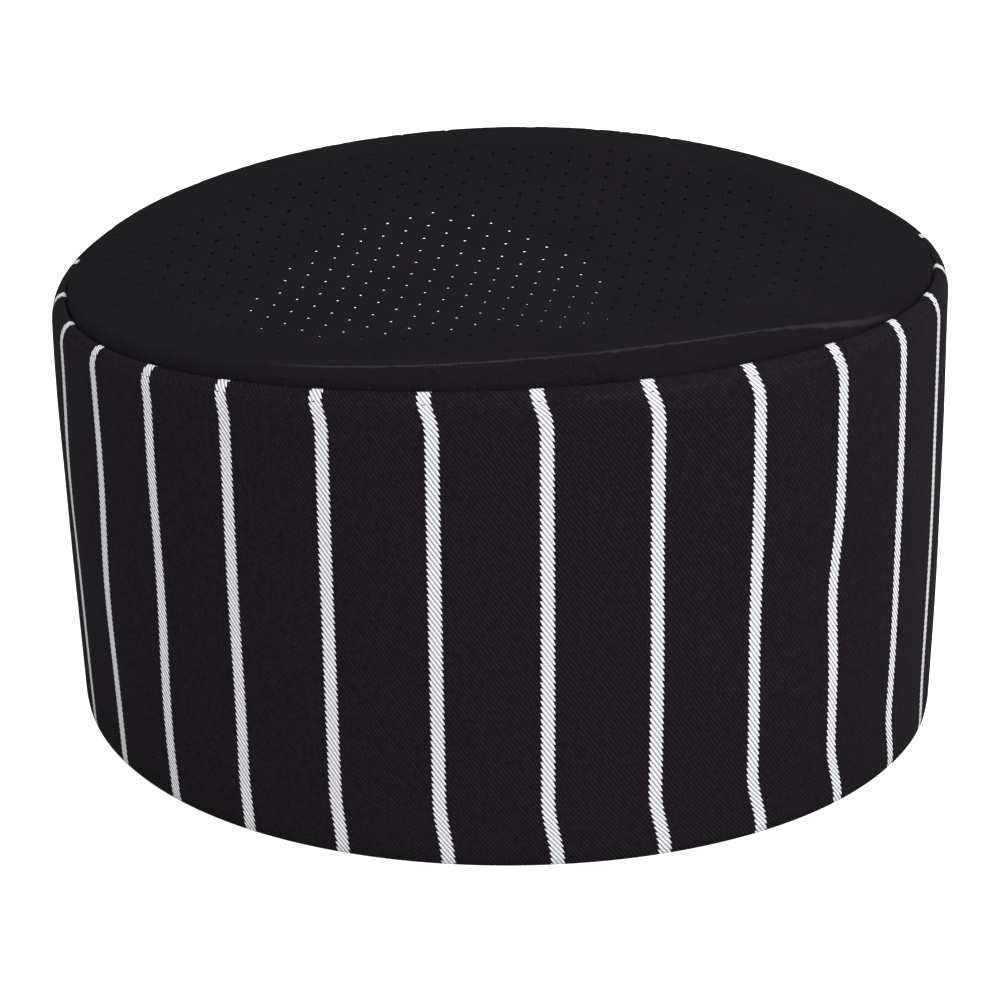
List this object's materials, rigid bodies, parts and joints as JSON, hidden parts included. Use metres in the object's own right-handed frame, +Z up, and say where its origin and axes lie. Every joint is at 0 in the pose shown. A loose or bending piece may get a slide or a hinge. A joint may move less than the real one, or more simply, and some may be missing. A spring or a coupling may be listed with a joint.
{
  "type": "chef skull cap",
  "caption": "Low round chef's skull cap with a breathable mesh crown, a stiff pinstriped twill side band and an adjustable hook-and-loop strap at the back.",
  "frame": {"origin": "centre of the hem at the height of the surface that the cap rests on, which is the bottom centre of the cap's box", "axes": "+Z up from the hem to the crown; -Y towards the front of the head; +Y towards the arched opening and its straps; +X towards the side where the outer strap is sewn"},
  "size_m": [0.1884, 0.1895, 0.103],
  "materials": {
    "crown_mesh": "perforated black polyester mesh",
    "band_twill": "black twill with white pinstripes",
    "interlining": "stiff non-woven",
    "lining": "black plain weave",
    "sweatband": "black cotton rib",
    "binding_tape": "black folded tape",
    "loop_tape": "black brushed loop pile",
    "hook_tape": "black moulded hooks",
    "thread": "black polyester thread",
    "label": "off-white satin, blank",
    "label_thread": "pale thread"
  },
  "bodies": {
    "cap": {"crown_mesh": "crown_mesh", "crown_seam_tape": "binding_tape", "crown_edge_stitch": "thread", "crown_tape_stitch": "thread", "band_outer": "band_twill", "band_interlining": "interlining", "band_lining": "lining", "sweatband": "sweatband", "sweatband_stitch_upper": "thread", "sweatband_stitch_lower": "thread", "opening_binding": "binding_tape", "opening_binding_stitch": "thread", "bartack_left": "thread", "bartack_right": "thread", "strap_inner": "band_twill", "strap_inner_stitch": "thread", "loop_tape": "loop_tape", "loop_tape_stitch": "thread", "strap_sewn_end": "band_twill", "strap_root_stitch": "thread", "size_label": "label", "size_label_stitch": "label_thread"},
    "strap": {"strap_outer": "band_twill", "strap_edge_stitch": "thread", "hook_tape": "hook_tape", "hook_tape_stitch": "thread"}
  },
  "joints": [
    {"name": "strap_peel", "type": "hinge", "parent": "cap", "child": "strap", "pos_m": [0.0443, 0.0813, 0.005], "axis": [-0.0218, -0.04, -0.999], "range_deg": [0, 115]}
  ]
}
